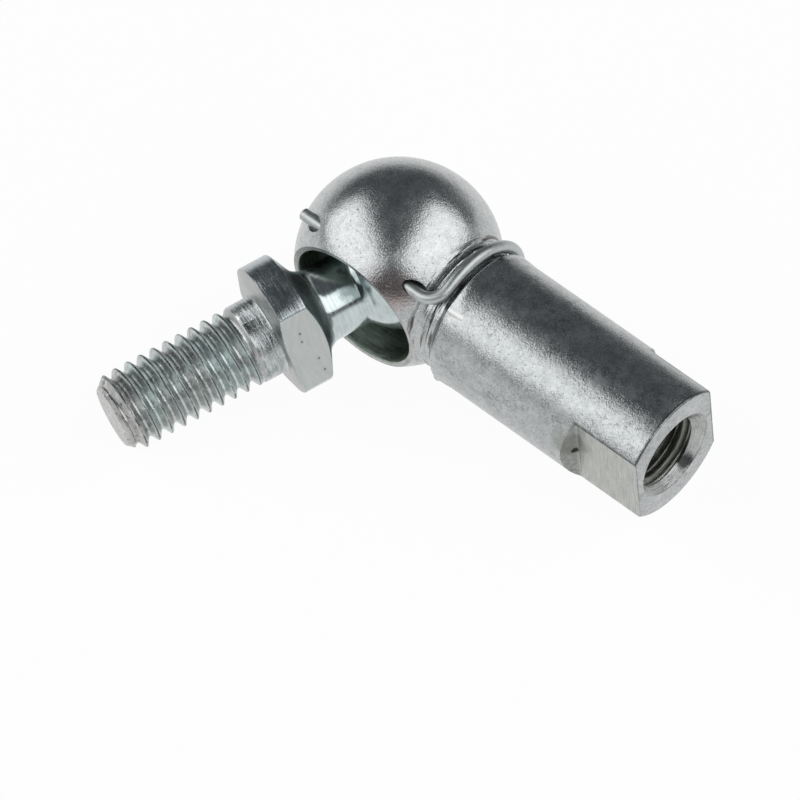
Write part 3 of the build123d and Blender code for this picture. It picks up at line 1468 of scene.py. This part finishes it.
@dataclass(frozen=True)
class Camera:
    """The camera: where it looks, from which side, and through which lens."""

    aim: Vector
    azimuth: float
    elevation: float
    roll: float
    distance: float
    lens: float

    def build(self) -> bpy.types.Object:
        """Sets the scene's camera.

        Returns:
            The camera's object.
        """
        data = bpy.data.cameras.new("camera")
        data.lens = self.lens
        data.sensor_width = 36.0
        data.clip_start, data.clip_end = 0.05, 20.0
        made = as_object(data, "camera")
        back = towards(self.azimuth, self.elevation)
        a, roll = math.radians(self.azimuth), math.radians(self.roll)
        level = Vector((math.cos(a), math.sin(a), 0.0))
        up = back.cross(level)
        right = level * math.cos(roll) + up * math.sin(roll)
        turn = Matrix((right, back.cross(right), back)).transposed().to_4x4()
        made.matrix_world = Matrix.Translation(self.aim + back * self.distance) @ turn
        bpy.context.scene.camera = made
        return made


@dataclass(frozen=True)
class Studio:
    """A plain pale floor in a dim room with two soft boxes, one each side of the camera."""

    floor_size: float = 3.0
    floor_white: float = 0.95
    paper: Colour = (0.93, 0.93, 0.93)
    white: Colour = (1.0, 1.0, 1.0)
    room: Colour = (0.1, 0.108, 0.115)
    skirting: Colour = (0.68, 0.69, 0.69)
    box_width: float = 86.0
    box_glow: float = 1.65

    def seen(self, sheet: Sheet, glossy: bool) -> Wire:
        """Marks the rays that show the background itself.

        Args:
            sheet: The node tree.
            glossy: Whether rays from a shiny or a clear surface count, beside the camera's own.

        Returns:
            1 for such rays.
        """
        outputs = sheet.node("ShaderNodeLightPath").socket.node.outputs
        share = Wire(sheet, outputs["Is Camera Ray"])
        for kind in ("Is Glossy Ray", "Is Transmission Ray") if glossy else ():
            share = share.at_least(Wire(sheet, outputs[kind]))
        return share

    def floor(self) -> bpy.types.Object:
        """The round flat floor of pale paper, which keeps a faint shadow.

        Returns:
            The floor.
        """
        profile = [(0.0, 0.0), (0.0, self.floor_size)]
        made = as_object(turned("floor", profile, Turning.STUD, columns=64), "floor")
        material = bpy.data.materials.new("studio_floor")
        material.use_nodes = True
        sheet = Sheet(material.node_tree)
        paper = sheet.node("ShaderNodeBsdfDiffuse", None, {"Color": opaque(self.paper)})
        glow = {"Color": opaque(self.white), "Strength": 1.0}
        light = sheet.node("ShaderNodeEmission", None, glow)
        share = self.seen(sheet, True) * self.floor_white
        mixed = sheet.node("ShaderNodeMixShader", None, {0: share, 1: paper, 2: light})
        sheet.node("ShaderNodeOutputMaterial", None, {"Surface": mixed})
        made.data.materials.append(material)
        return made

    def world(self) -> None:
        """White where the camera looks past the floor, and a dim room in what is reflected."""
        world = bpy.data.worlds.new("room")
        world.use_nodes = True
        bpy.context.scene.world = world
        sheet = Sheet(world.node_tree)
        way = sheet.node("ShaderNodeTexCoord", output="Generated")
        rise = sheet.node("ShaderNodeSeparateXYZ", None, {0: way}, "Z")
        room = sheet.mix(rise.ramp(-0.02, 0.17), self.skirting, self.room)
        colour = sheet.mix(self.seen(sheet, False), room, self.white)
        light = sheet.node("ShaderNodeBackground", None, {"Color": colour, "Strength": 1.0})
        sheet.node("ShaderNodeOutputWorld", None, {"Surface": light})

    def build(self) -> None:
        """Sets the stage."""
        self.floor()
        self.world()
        boxes = (("left_box", -40, 38, 46), ("right_box", 110, 45, 50))
        for name, azimuth, elevation, high in boxes:
            SoftBox(name, azimuth, elevation, self.box_width, high, self.box_glow).build()


# ---- Making -------------------------------------------------------------------------------


def report(piece: bpy.types.Object) -> None:
    """Logs a piece's name and how many faces it has."""
    LOG.info("%s: %d faces", piece.name, len(piece.data.polygons))


def main() -> None:
    """Builds the joint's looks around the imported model, then the studio and the camera."""
    logging.basicConfig(level=logging.INFO, format="%(message)s")
    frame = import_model()
    socket_place = Place.of_socket(frame)
    stud_place = Place.of_stud(frame, spin=22.5)
    report(Socket(socket_place).build())
    report(Stud(stud_place).build())
    report(Clip(socket_place).dress(frame["nodes"]["safety_clip"]))
    Studio().build()
    Camera(
        aim=Vector((-2.974, 2.090, 0.619)) * MM,
        azimuth=42.018,
        elevation=45.815,
        roll=-0.862,
        distance=0.61489,
        lens=399.24,
    ).build()
    bpy.context.scene.view_settings.view_transform = "Standard"


if __name__ == "__main__":
    main()
